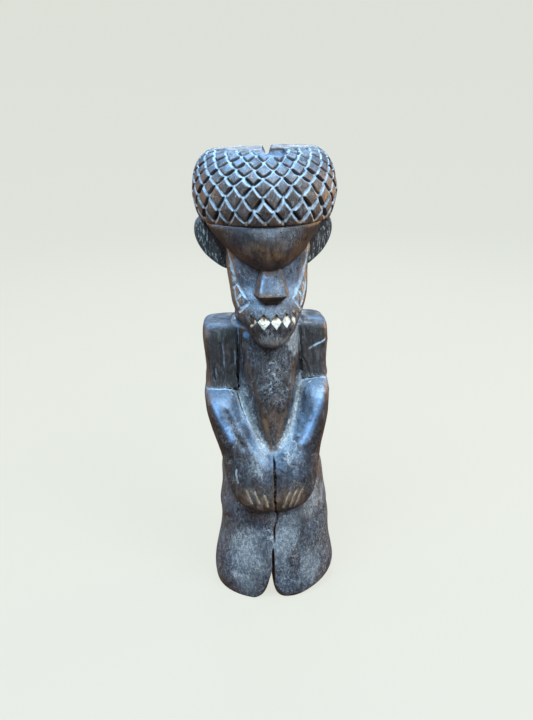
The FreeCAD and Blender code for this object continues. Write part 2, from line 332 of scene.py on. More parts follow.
    def piece(self, name, nodes, material, slot):
        """Cuts the faces of some nodes out as one closed object that stands for those nodes."""
        wanted = [self.nodes.index(n) for n in nodes]
        faces = self.faces[np.isin(self.face_label, wanted)]
        used, index = np.unique(faces, return_inverse=True)
        faces = index.reshape(-1, 4)
        co, normals = self.co[used], self.all_normals[used]
        polygons = faces.tolist()
        extra, extra_normals = [], []
        for loop in border_loops(faces, len(co)):  # closed by a fan to a point under the surface
            outward = normals[loop].mean(0)
            hub = len(co) + len(extra)
            extra.append(co[loop].mean(0) - outward * min(3.0, len(loop) * 0.2))
            extra_normals.append(-outward if np.linalg.norm(outward) > 1e-6 else np.array([0, 0, 1.0]))
            polygons += [[hub, loop[k], loop[(k + 1) % len(loop)]] for k in range(len(loop))]
        if extra:
            co = np.concatenate([co, extra])
            normals = np.concatenate([normals, extra_normals])
        mesh = bpy.data.meshes.new(name)
        mesh.from_pydata(co / 1000, [], polygons)
        mesh.polygons.foreach_set("use_smooth", np.ones(len(mesh.polygons), bool))
        for mark, values in self.marks.items():
            values = np.concatenate([values[used], np.zeros(len(extra))])
            mesh.attributes.new(mark, "FLOAT", "POINT").data.foreach_set("value", values.astype(np.float32))
        mesh.normals_split_custom_set_from_vertices(normals.tolist())
        piece = bpy.data.objects.new(name, mesh)
        bpy.context.scene.collection.objects.link(piece)
        mesh.materials.append(material)
        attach(piece, "root")
        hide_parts(*nodes)
        return piece


def border_loops(faces, count):
    """The open borders of some quads on count vertices, each as a closed loop of vertex numbers."""
    forward = np.concatenate([faces[:, [k, (k + 1) % 4]] for k in range(4)])
    codes = forward[:, 0] * count + forward[:, 1]
    back = forward[:, 1] * count + forward[:, 0]
    follow = {}
    for a, b in forward[~np.isin(back, codes)].tolist():
        follow.setdefault(b, []).append(a)
    while follow:
        start = next(iter(follow))
        loop, at = [start], follow[start].pop()
        while True:
            if not follow[loop[-1]]:
                del follow[loop[-1]]
            if at == start:
                break
            loop.append(at)
            at = follow[at].pop()
        yield loop


def along(points, path):
    """Distance in mm from each point to a path, and how far along the path it is, from 0 to 1."""
    best = np.full(len(points), 1e9)
    place = np.zeros(len(points))
    path = np.asarray(path, float)
    lengths = np.linalg.norm(np.diff(path, axis=0), axis=1)
    whole = max(lengths.sum(), 1e-9)
    done = 0.0
    for a, b, length in zip(path, path[1:], lengths):
        t = np.clip(((points - a) @ (b - a)) / max(length * length, 1e-9), 0, 1)
        d = np.linalg.norm(points - (a + t[:, None] * (b - a)), axis=1)
        better = d < best
        best[better] = d[better]
        place[better] = ((done + t * length) / whole)[better]
        done += length
    return best, place


def v_cut(distance, half_width, depth):
    return -depth * np.clip(1 - distance / half_width, 0, 1)


# ---- head ------------------------------------------------------------------------------------------
HAIR_CUTS = 23  # V-cuts in each of the two families
HAIR_TURN = -0.13  # turns the whole pattern, in lozenges
HAIR_ROWS = [0, 13, 24.7, 35, 42.5, 49, 55, 60, 64]  # heights above the rim, mm
HAIR_TWIST = [-0.58, 0, 0.5, 1, 1.5, 2, 2.5, 3, 3.6]  # how many lozenges round a cut has run at each
HAIR_SPACING = 14.2  # between neighbouring cuts where the hair is widest
HAIR_DEPTH = 3.6
NOTCH_SKEW, NOTCH_FALL = 0.095, 0.094  # drift to the right and fall of the notch for each mm towards the back
STEP_WALL = 30.0  # the chipped step's back wall, measured forwards from the axis
STEP_LENGTH, STEP_DEPTH = 15.8, 6.3  # with a small margin, as all of these have
NOTCH_HALF_WIDTH, NOTCH_DEPTH = 4.9, 5.2


def carve_hair(skin):
    """Two families of spiral V-cuts that cross over the whole dome of hair."""
    low, high = box_mm("hair_cap")
    x, y, z = skin.co.T
    turn = np.arctan2(x, -y) / (2 * math.pi) * HAIR_CUTS + HAIR_TURN
    rise = np.interp(z, low[2] + np.array(HAIR_ROWS), HAIR_TWIST)
    first = turn + rise + noise(skin.co, 23, 3) * 0.10 + noise(skin.co, 9, 4) * 0.05
    second = turn - rise + noise(skin.co, 23, 5) * 0.10 + noise(skin.co, 9, 6) * 0.05
    spacing = np.clip(HAIR_SPACING * np.hypot(x, y) / ((high[0] - low[0]) / 2), 5, 15)
    scale = np.clip(spacing / 14, 0.5, 1)
    cuts, dust_and_lit_wall, pit = [], np.zeros(len(skin.co)), np.zeros(len(skin.co))
    for line, other, above, seed in ((first, second, 1, 8), (second, first, -1, 9)):
        side = (line - np.round(line)) * spacing * above
        crossing = np.abs(other - np.floor(other) - 0.5) * 2  # 0 midway along a side, 1 at a crossing
        gouge = np.sin(np.round(line) * 12.9898 + np.floor(other) * 78.233 + seed) * 43758.5453
        gouge = gouge - np.floor(gouge)  # each side of a lozenge is cut a little differently
        strength = (0.72 + 0.6 * gouge**1.5 + 0.2 * noise(skin.co, 8, seed)) * scale
        # the wall under each lozenge is steep, and the wall above the next one slopes gently
        steep, gentle = 1.1 * scale, (3.2 - 0.5 * crossing) * strength
        offset = side - 0.9 * scale
        distance = np.where(offset > 0, offset / steep, -offset / gentle)
        cuts.append(-np.clip(1 - distance, 0, 1) * HAIR_DEPTH * (1 - 0.6 * crossing**2) * strength)
        # dust and painted light on the gentle wall, which faces up; painted shade on the steep wall under
        # each lozenge
        dust_and_lit_wall = np.maximum(dust_and_lit_wall, smooth_step(distance, 1.1, 0.7) * (offset <= 0))
        dark = smooth_step(np.abs(offset + 0.1) / (steep * (0.8 + gouge)), 1.2, 0.5)
        pit = np.maximum(pit, dark * smooth_step(crossing, 0.95, 0.6) * (0.45 + 0.55 * gouge))
    middle = (low[0] + high[0]) / 2
    chipped = (x > middle - 2.4) & (x < middle + STEP_LENGTH)
    chipped &= (y < 0.7 - STEP_WALL) & (z > high[2] - STEP_DEPTH)
    behind_step = y + STEP_WALL
    notch = np.abs(x - middle - NOTCH_SKEW * behind_step) < NOTCH_HALF_WIDTH
    notch &= z > high[2] - NOTCH_DEPTH - NOTCH_FALL * behind_step
    flat_top = smooth_step(z, high[2] - 1.0, high[2] - 0.2)
    fade = smooth_step(z, low[2] - 0.5, low[2] + 3.0) * (1 - flat_top) * skin.on("hair_cap")
    fade = skin.spread(fade * ~(chipped | notch), 2)
    skin.push(np.minimum(*cuts) * fade)
    skin.marks["groove"] = dust_and_lit_wall * (1 - pit) * fade
    skin.marks["pit"] = pit * fade
    step = skin.spread(chipped.astype(float), 2)
    skin.push((noise(skin.co, (3.5, 1.6, 3.5), 14, 2) - 0.5) * 0.7 * step)
    skin.marks["dull"] = 0.9 * step
    # painted sheen on the chipped step, and less of it along the flat top
    skin.marks["painted_sheen"] = 0.35 * step - 0.7 * smooth_step(z, high[2] - 3, high[2] - 1)


def carve_crown():
    skin = Skin(["hair_cap", "skull_and_neck", "right_ear", "left_ear"], HEAD_VOXEL)
    cap, ears = skin.on("hair_cap"), skin.on("right_ear", "left_ear")
    rim, top = (corner[2] for corner in box_mm("hair_cap"))
    skin.relax(4)
    skin.relax(16, 1 - cap)
    carve_hair(skin)
    skin.push(noise(skin.co, 7, 11) * 0.16 * cap + noise(skin.co, 22, 12) * 0.3)
    skin.push((noise(skin.co, 9, 15, 2) - 0.8) * 0.7 * cap * smooth_step(skin.co[:, 2], top - 7, top - 1))
    front = ears * smooth_step(-skin.normals()[:, 1], 0.5, 0.9)
    skin.push(front * (noise(skin.co, (1.6, 1.6, 9), 13, 2) * 0.8 - 0.4))
    skin.cut_path(skin.drape("skull_and_neck", [(0.5, 0.05), (0.5, 0.55)], back=True), 5, 1.2)
    z = skin.co[:, 2]
    skin.marks["rough"] = front
    skin.mark("dull", 0.6 * cap * smooth_step(z, rim + 59, rim + 62))
    skin.marks["bloom"] = 0.3 * cap + 0.25 * (1 - cap) + 0.7 * front
    near_rim = 0.35 + 0.65 * smooth_step(z, rim + 9, rim + 1)
    skin.marks["brown"] = cap * near_rim * (1 - np.abs(skin.marks["painted_sheen"]))
    finish_skin(skin)
    skin.marks["deep"] *= 1 - 0.85 * cap  # less painted shade in the hair's large hollows, as its cuts are dusty
    return skin


BEARD = [  # paths in fractions of the face's width and height, with half the width and the depth of the cut
    ([(0.012, 0.957), (0.031, 0.876), (0.052, 0.822), (0.08, 0.698),
      (0.126, 0.601), (0.178, 0.533), (0.228, 0.47)], 1.0, 0.8),
    ([(0.24, 0.462), (0.181, 0.419), (0.108, 0.34)], 1.3, 0.9),
    ([(0.071, 0.73), (0.074, 0.61), (0.091, 0.467), (0.132, 0.391)], 0.8, 0.6),
    ([(0.038, 0.805), (0.066, 0.733)], 0.8, 0.6),
    ([(0.06, 0.563), (0.116, 0.635)], 0.8, 0.6),
    ([(0.087, 0.466), (0.165, 0.534)], 0.8, 0.6),
    ([(0.132, 0.391), (0.236, 0.464)], 1.1, 0.8),
    ([(0.965, 0.93), (0.949, 0.81), (0.906, 0.712), (0.841, 0.612), (0.792, 0.544), (0.75, 0.481)], 1.5, 1.0),
    ([(0.945, 0.64), (0.931, 0.559), (0.905, 0.5), (0.866, 0.415), (0.846, 0.385)], 1.2, 0.8),
    ([(0.77, 0.473), (0.874, 0.337)], 0.9, 0.7),
    ([(0.895, 0.619), (0.93, 0.543)], 0.8, 0.6),
    ([(0.831, 0.542), (0.89, 0.471)], 0.8, 0.6),
]
FACE_BROWN = [  # soft patches: strength, node, centre in fractions of its width and height, radius in mm
    (1.0, "forehead", (0.5, 0.3), (38, 17)),
    (1.0, "face", (0.5, 0.0), (26, 12)),
    (0.7, "face", (0.08, 0.55), (7, 26)),
    (0.7, "face", (0.92, 0.55), (7, 26)),
]


def carve_face():
    skin = Skin(["forehead", "face", "nose"], FACE_VOXEL)
    nose, brow = skin.on("nose"), skin.on("forehead")
    skin.relax(4)
    skin.relax(14, brow)
    low, high = box_mm("mouth_filler_3")
    x, z = skin.co[:, 0], skin.co[:, 2]
    mouth = (1 - brow) * smooth_step(z, low[2] - 4, low[2] - 1)
    mouth *= 1 - smooth_step(z, high[2] + 1, high[2] + 4)
    skin.follow("face", mouth)
    skin.relax(1)
    skin.push(noise(skin.co, 9, 31) * 0.16 * (1 - mouth) + noise(skin.co, 26, 32) * 0.35 * (1 - nose))
    low, high = box_mm("face")
    cheek = (1 - brow - nose) * smooth_step(z, low[2] + 45, low[2] + 60)
    cheek *= smooth_step(-skin.normals()[:, 1], 0.3, 0.8)
    skin.push(-1.6 * cheek * smooth_step(34 - np.abs(x - (low[0] + high[0]) / 2), 0, 12))
    for path, half_width, depth in BEARD:
        line = skin.cut_path(skin.drape("face", path), half_width + 0.9, depth + 0.5, 0.3)
        skin.mark("groove", smooth_step(line, 0.0, 0.3))
    # a painted highlight along the nose's left edge
    shine = skin.cut_path(skin.drape("nose", [(0.30, 0.92), (0.20, 0.60), (0.13, 0.38)]), 2.4, 0.0)
    skin.marks["dull"] = nose
    # painted sky sheen: more on the cheeks, less on the nose and the brow, with the nose's painted highlight
    skin.marks["painted_sheen"] = 0.3 * cheek - 0.4 * nose - 0.15 * brow + 1.1 * shine
    skin.marks["pit"] = skin.marks["rough"] = np.zeros(len(skin.co))
    bloom = 0.06 * brow + 0.15 * nose + 0.38 * (1 - brow - nose)
    skin.marks["bloom"] = bloom + 0.5 * skin.spot("face", (0.5, 0.07), (17, 8))
    nose_low = box_mm("nose")[0][2]
    brown = skin.spots(FACE_BROWN) + 0.8 * nose * smooth_step(z, nose_low + 16, nose_low + 11)
    skin.marks["brown"] = np.clip(brown, 0, 1)
    finish_skin(skin)
    return skin


def finish_skin(skin):
    """Marks for the materials, and the normals that neighbouring pieces share."""
    skin.all_normals = skin.normals()
    skin.marks["hollow"] = np.clip(skin.hollowness(5) / 0.25, -1, 1)
    skin.marks["deep"] = np.clip(skin.hollowness(40) / 1.2, -1, 1)


# ---- body: every path is in fractions of its node's width and height -------------------------------
RIDGES = [  # long swellings of the forearms and the hollow between them: path, half the width, height
    ("right_forearm", [(0.08, 0.95), (0.19, 0.76), (0.32, 0.58), (0.43, 0.44)], 6.5, 1.3),
    ("right_forearm", [(0.36, 0.88), (0.50, 0.62), (0.70, 0.35), (0.86, 0.16)], 5.5, 1.2),
    ("right_forearm", [(0.28, 0.88), (0.41, 0.60), (0.58, 0.36)], 4, -1.1),
    ("left_forearm", [(0.88, 0.97), (0.80, 0.86), (0.72, 0.73), (0.62, 0.58), (0.50, 0.44), (0.38, 0.34)],
     7, 1.3),
    ("left_forearm", [(0.42, 0.52), (0.14, 0.26)], 5.5, 1.2),
    ("left_forearm", [(0.40, 0.62), (0.28, 0.40)], 4, -1.0),
]
FINGERS = {
    "right_hand": [
        [(0.538, 0.87), (0.593, 0.633), (0.66, 0.35)],
        [(0.378, 0.94), (0.424, 0.673), (0.515, 0.33)],
        [(0.747, 0.72), (0.807, 0.47), (0.835, 0.2)],
    ],
    "left_hand": [
        [(0.35, 0.8), (0.243, 0.5), (0.145, 0.11)],
        [(0.647, 0.91), (0.533, 0.567), (0.414, 0.1)],
        [(0.516, 0.87), (0.392, 0.52), (0.3, 0.14)],
    ],
}
HAND_CRACK = [  # one crack that runs down from the hands to the slot between the legs
    ("right_hand", [(1.0, 1.85), (1.0, 1.0), (0.985, 0.4), (1.0, -0.05)]),
    ("hips", [(0.49, 0.2), (0.468, 0.0)]),
    ("right_leg", [(1.03, 0.97), (1.025, 0.72)]),
]
SHOULDER_SCRATCH = [(0.93, 0.71), (0.85, 0.66), (0.618, 0.61), (0.40, 0.53)]
CHEST_SCRATCH = [(0.245, 0.54), (0.22, 0.46), (0.205, 0.39)]
FOREARM_SCRATCH = [(0.425, 0.198), (0.409, 0.128), (0.444, 0.007)]
TOP_CRACK = [(0.2, 0.62, 1), (0.36, 0.57, 1), (0.6, 0.48, 1), (0.8, 0.33, 1)]  # in all three directions
LEFT_BLOCK_CRACK = [(0.258, 0.4), (0.363, 0.273), (0.408, 0.136), (0.484, 0.057)]
RIGHT_BLOCK_CRACKS = [
    [(0.36, 0.80), (0.40, 0.55), (0.39, 0.30)],
    [(0.64, 0.66), (0.67, 0.52), (0.65, 0.36)],
    [(0.88, 0.97), (0.86, 0.70), (0.90, 0.45), (0.87, 0.20)],
    [(0.20, 0.35), (0.22, 0.12)],
]
PAINTED_GLEAMS = [  # painted highlights: centre and radius, mm
    ((-54, -12, 284), (9, 6, 5)),
    ((47, -4, 284), (10, 9, 5)),
    ((-23.6, -28.9, 277.4), (5, 6, 4)),
]
PALE = [  # soft patches: strength, node, centre in fractions of its width and height, radius in mm
    (0.22, "torso", (0.55, 0.7), (24, 40)),
    (0.7, "torso", (0.86, 0.9), (9, 18)),
    (0.6, "right_forearm", (0.75, 0.25), (12, 20)),
    (0.5, "left_forearm", (0.3, 0.3), (12, 20)),
    (0.25, "right_forearm", (0.3, 0.97), (26, 8)),
    (0.35, "left_forearm", (0.7, 0.97), (26, 8)),
    (0.2, "right_forearm", (0.46, 0.78), (9, 18)),
]
BROWN = [
    (0.65, "torso", (0.52, 0.34), (12, 24)),
    (0.7, "left_forearm", (0.85, 0.15), (12, 30)),
    (0.5, "right_forearm", (0.12, 0.2), (10, 30)),
    (0.6, "left_leg", (0.3, 0.5), (8, 20)),
    (0.7, "left_leg", (0.8, 0.1), (14, 22)),
    (0.6, "right_leg", (0.25, 0.05), (16, 14)),
    (0.5, "hips", (0.35, 0.15), (16, 8)),
]
# paler patches on the legs and hips: strength, node, centre in fractions of its width and height, radius in
# mm
PALE_LEG_PATCHES = [
    (0.35, "right_leg", (0.62, 0.6), (26, 34)),
    (0.3, "left_leg", (0.2, 0.8), (18, 34)),
    (0.35, "hips", (0.8, 0.4), (22, 30)),
    (0.3, "left_leg", (0.55, 0.35), (14, 26)),
    (0.3, "right_leg", (0.45, 0.15), (26, 16)),
]


def soften_body(skin, off_floor):
    """Rounds every edge a little, and the tops of the shoulder blocks and of the forearms more."""
    z = skin.co[:, 2]
    legs, arms = skin.on(*LEGS), skin.on(*FOREARMS, *HANDS)
    slot_x = box_mm("left_leg")[0][0]
    off_slot = smooth_step(np.abs(skin.co[:, 0] - slot_x), 3, 8) * legs + 1 - legs
    skin.relax(10, off_floor * (0.25 + 0.75 * off_slot))
    low, high = box_mm("left_upper_arm")
    skin.relax(50, skin.on(*UPPER_ARMS) * smooth_step(z, high[2] - 16, high[2] - 4))
    skin.relax(40, arms * smooth_step(z, low[2] - 12, low[2]) * 0.6)


def shape_chest(skin):
    """The chest and belly stand forward between two ridges that run together towards the hands. Returns each
    vertex's distance inside the ridges, and 1 on the front."""
    low, high = box_mm("torso")
    x, y, z = skin.co.T
    t = (z - low[2]) / (high[2] - low[2])
    across = (high - low)[0]
    right_ridge = low[0] + across * np.interp(t, [0, 0.24, 0.45, 0.67, 0.9], [0.5, 0.41, 0.316, 0.2, 0.13])
    left_places = [0.5, 0.6, 0.69, 0.775, 0.86, 0.91]
    left_ridge = low[0] + across * np.interp(t, [0, 0.24, 0.376, 0.56, 0.74, 0.91], left_places)
    inside = np.minimum(x - right_ridge, left_ridge - x)
    front = skin.on("torso") * smooth_step(-y, 0, 10)
    skin.co[:, 1] += np.minimum(np.maximum(-inside, 0) * 0.5, 4.5 * smooth_step(t, 0.05, 0.5)) * front
    return inside, front


def cut_seams(skin):
    """V-cuts and ledges between the limbs. Returns 1 in the valley between the chest and the forearms."""
    ledge = box_mm("left_upper_arm")[0][2]
    valley = smooth_step(9 - skin.seam_distance(["torso"], FOREARMS, 9), 0, 6)
    skin.relax(60, valley)
    distance = skin.seam_distance(["torso"], UPPER_ARMS, 2.6)
    skin.push(v_cut(distance, 2.6, 2.0) * smooth_step(skin.co[:, 2], ledge + 1, ledge + 10))
    for side in ("right", "left"):
        distance = skin.seam_distance([side + "_hand", side + "_forearm"], ["hips"], 2.0)
        skin.push(v_cut(distance, 2.0, 1.0))
        skin.mark("groove", 0.5 * np.clip(1 - distance / 2.0, 0, 1))
    for side in ("right", "left"):
        distance = skin.seam_distance([side + "_upper_arm"], [side + "_forearm"], 4.0)
        skin.relax(12, smooth_step(4 - distance, 0, 2))
        skin.mark("groove", 0.6 * np.clip(1.2 - distance / 2.5, 0, 1) * skin.on(*FOREARMS, *HANDS))
    return valley


def raise_forearms(skin):
    """The swellings of the forearms. Returns their crests, where highlights are painted."""
    shine = np.zeros(len(skin.co))
    for node, path, half_width, height in RIDGES:
        raised = skin.cut_path(skin.drape(node, path), half_width, -height, 0.6)
        shine = np.maximum(shine, raised * np.interp(height, [0, 1.2, 1.3], [0, 0.3, 1]))
    rim = np.clip(1.3 - skin.seam_distance(["torso"], UPPER_ARMS, 4.0) / 2.6, 0, 1)
    skin.mark("groove", 0.4 * skin.on("torso") * rim * smooth_step(-skin.co[:, 1], 12, 20))
    return shine


def cut_fingers(skin):
    """The lines between the fingers. Returns 1 on them."""
    fingers = np.zeros(len(skin.co))
    for hand, paths in FINGERS.items():
        for path in paths:
            fingers = np.maximum(fingers, skin.cut_path(skin.drape(hand, path), 1.5, 1.5, 0.5))
    skin.mark("groove", 0.75 * fingers)
    return fingers


def cut_cracks(skin):
    """Drying cracks, the furrows down the back and two of the scratches."""
    crack = sum((skin.drape(node, path) for node, path in HAND_CRACK), [])
    skin.mark("pit", skin.cut_path(crack, 1.3, 4.0, 0.9))
    skin.cut_path(skin.drape("hips", [(0.44, 0.0), (0.45, 0.9)], back=True), 5, 4.5)
    skin.cut_path(skin.drape("torso", [(0.5, 0.1), (0.5, 1.0)], back=True), 8, 2.5)
    skin.mark("groove", skin.cut_path(skin.drape("left_upper_arm", SHOULDER_SCRATCH), 1.5, 0.7, 0.4))
    skin.mark("groove", 0.8 * skin.cut_path(skin.drape("torso", CHEST_SCRATCH), 1.3, 0.5, 0.3))
    low, high = box_mm("right_upper_arm")
    skin.mark("pit", skin.cut_path(low + np.array(TOP_CRACK) * (high - low), 1.3, 1.8, 0.8))
    skin.mark("pit", skin.cut_path(skin.drape("left_upper_arm", LEFT_BLOCK_CRACK), 1.1, 1.4, 0.7))
    for path in RIGHT_BLOCK_CRACKS:
        crack = skin.drape("right_upper_arm", path)
        skin.mark("pit", skin.cut_path(crack, 1.5, 1.5, 0.6))
        streak = [(x + 2.6, y, z) for x, y, z in crack]  # a dusty line beside the crack
        skin.mark("groove", 0.4 * skin.cut_path(streak, 1.8, 0.0, 0.8))
    skin.marks["pit"] = smooth_step(skin.marks["pit"], 0.05, 0.5)


def paint_body_sheen(skin, shine):
    """Marks where sky sheen and highlights are painted on the wood, and where it is dull."""
    uppers, arms = skin.on(*UPPER_ARMS), skin.on(*FOREARMS, *HANDS)
    tops = smooth_step(skin.normals()[:, 2], 0.5, 0.9)
    painted_sheen = 0.75 * shine - 0.6 * tops * (uppers + 0.6 * arms)
    painted_sheen += 0.15 * skin.on(*LEGS) - 0.05 * skin.on("torso")
    for centre, radius in PAINTED_GLEAMS:
        away = np.linalg.norm((skin.co - centre) / radius, axis=1) + 0.3 * noise(skin.co, 6, 92, 2)
        painted_sheen += 0.9 * smooth_step(away, 1.2, 0.4)
    skin.marks["painted_sheen"] = painted_sheen
    skin.marks["dull"] = tops * (uppers + 0.5 * arms)


def colour_body(skin, inside, front, valley, shine, cuts):
    """Marks where the wood is worn brown and where pale bloom lies on it."""
    torso, legs = skin.on("torso"), skin.on(*LEGS)
    low, high = box_mm("right_hand")
    lower_hands = skin.on(*HANDS) * smooth_step(skin.co[:, 2], high[2] + 6, low[2] + 10)
    # the lower hands: less painted sheen, and browner
    skin.marks["painted_sheen"] -= 0.4 * lower_hands
    pale = skin.spots(PALE) + 0.5 * valley + 0.35 * shine * skin.on("left_forearm")
    pale += 0.4 * smooth_step(np.maximum(-inside, 0), 2.5, 10) * front
    brown = skin.spots(BROWN) + 0.8 * smooth_step(3.2 - np.abs(inside), 0, 2.5) * front + 0.8 * lower_hands
    brown = np.clip(brown + 1.5 * skin.spread(cuts, 2), 0, 1)
    bloom = (0.5 + skin.spots(PALE_LEG_PATCHES)) * legs * (1 - 0.6 * brown) + 0.22 * torso * (1 - 0.8 * brown)
    bloom += 0.15 * skin.on(*FOREARMS, *HANDS) + 0.1 * skin.on(*UPPER_ARMS) + pale * (1 - legs)
    skin.marks["brown"], skin.marks["bloom"] = brown, np.clip(bloom, 0, 1)


def carve_body():
    skin = Skin(["torso", *UPPER_ARMS, *FOREARMS, *HANDS, *LEGS], BODY_VOXEL)
    legs = skin.on(*LEGS)
    off_floor = smooth_step(skin.co[:, 2], 0.5, 5)
    soften_body(skin, off_floor)
    inside, front = shape_chest(skin)
    skin.facet(11, 0.3, 5, off_floor * (1 - 0.5 * legs))
    skin.push((noise(skin.co, 16, 21) * 0.25 + noise(skin.co, 45, 22) * 0.6) * off_floor * (1 - 0.8 * legs))
    valley = cut_seams(skin)
    shine = raise_forearms(skin)
    fingers = cut_fingers(skin)
    cut_cracks(skin)
    paint_body_sheen(skin, shine)
    scratch = skin.cut_path(skin.drape("right_forearm", FOREARM_SCRATCH), 1.4, 0.8, 0.3)
    skin.mark("groove", scratch)
    rough = skin.on(*UPPER_ARMS) * smooth_step(-skin.normals()[:, 1], 0.55, 0.9)
    skin.push(rough * (noise(skin.co, (2.6, 2.6, 16), 25, 3) * 0.8 - 0.3))
    skin.relax(1, off_floor)
    skin.marks["rough"] = skin.spread(rough, 3)
    colour_body(skin, inside, front, valley, shine, np.maximum(scratch, fingers))
    finish_skin(skin)
    return skin


# ---- materials -------------------------------------------------------------------------------------
class Shader:
    """Short names for building a node tree."""

    def __init__(self, name):
        self.material = bpy.data.materials.new(name)
        self.material.use_nodes = True
        self.tree = self.material.node_tree
        self.bsdf = self.tree.nodes["Principled BSDF"]
        self.place = self.add("ShaderNodeTexCoord").outputs["Object"]

    def add(self, kind, **settings):
        node = self.tree.nodes.new(kind)
        for key, value in settings.items():
            setattr(node, key, value)
        return node

    def feed(self, socket, value):
        if isinstance(value, bpy.types.NodeSocket):
            self.tree.links.new(value, socket)
        else:
            socket.default_value = value

    def noise(self, scale, detail=4.0, rough=0.55, stretch=(1, 1, 1), warp=0.0):
        mapping = self.add("ShaderNodeMapping")
        self.feed(mapping.inputs["Vector"], self.place)
        mapping.inputs["Scale"].default_value = stretch
        node = self.add("ShaderNodeTexNoise")
        self.feed(node.inputs["Vector"], mapping.outputs[0])
        for key, value in (("Scale", scale), ("Detail", detail), ("Roughness", rough), ("Distortion", warp)):
            node.inputs[key].default_value = value
        return node.outputs["Fac"]

    def attribute(self, name):
        return self.add("ShaderNodeAttribute", attribute_name=name).outputs["Fac"]

    def up(self):
        split = self.add("ShaderNodeSeparateXYZ")
        self.feed(split.inputs[0], self.add("ShaderNodeNewGeometry").outputs["Normal"])
        return split.outputs["Z"]

    def ramp(self, value, low, high, out_low=0.0, out_high=1.0):
        node = self.add("ShaderNodeMapRange", interpolation_type="SMOOTHSTEP")
        self.feed(node.inputs["Value"], value)
        for key, number in (("From Min", low), ("From Max", high), ("To Min", out_low), ("To Max", out_high)):
            node.inputs[key].default_value = number
        return node.outputs["Result"]

    def math(self, kind, a, b=0.0, clamp=False):
        node = self.add("ShaderNodeMath", operation=kind, use_clamp=clamp)
        self.feed(node.inputs[0], a)
        self.feed(node.inputs[1], b)
        return node.outputs[0]

    def times(self, *factors):
        out = factors[0]
        for factor in factors[1:]:
            out = self.math("MULTIPLY", out, factor)
        return out

    def mix(self, amount, a, b):
        node = self.add("ShaderNodeMix", data_type="RGBA")
        self.feed(node.inputs["Factor"], amount)
        for socket, value in ((node.inputs[6], a), (node.inputs[7], b)):
            self.feed(socket, (*value, 1) if isinstance(value, tuple) else value)
        return node.outputs[2]

    def bump(self, height, strength, distance):
        node = self.add("ShaderNodeBump")
        node.inputs["Strength"].default_value = strength
        node.inputs["Distance"].default_value = distance
        self.feed(node.inputs["Height"], height)
        self.feed(self.bsdf.inputs["Normal"], node.outputs[0])


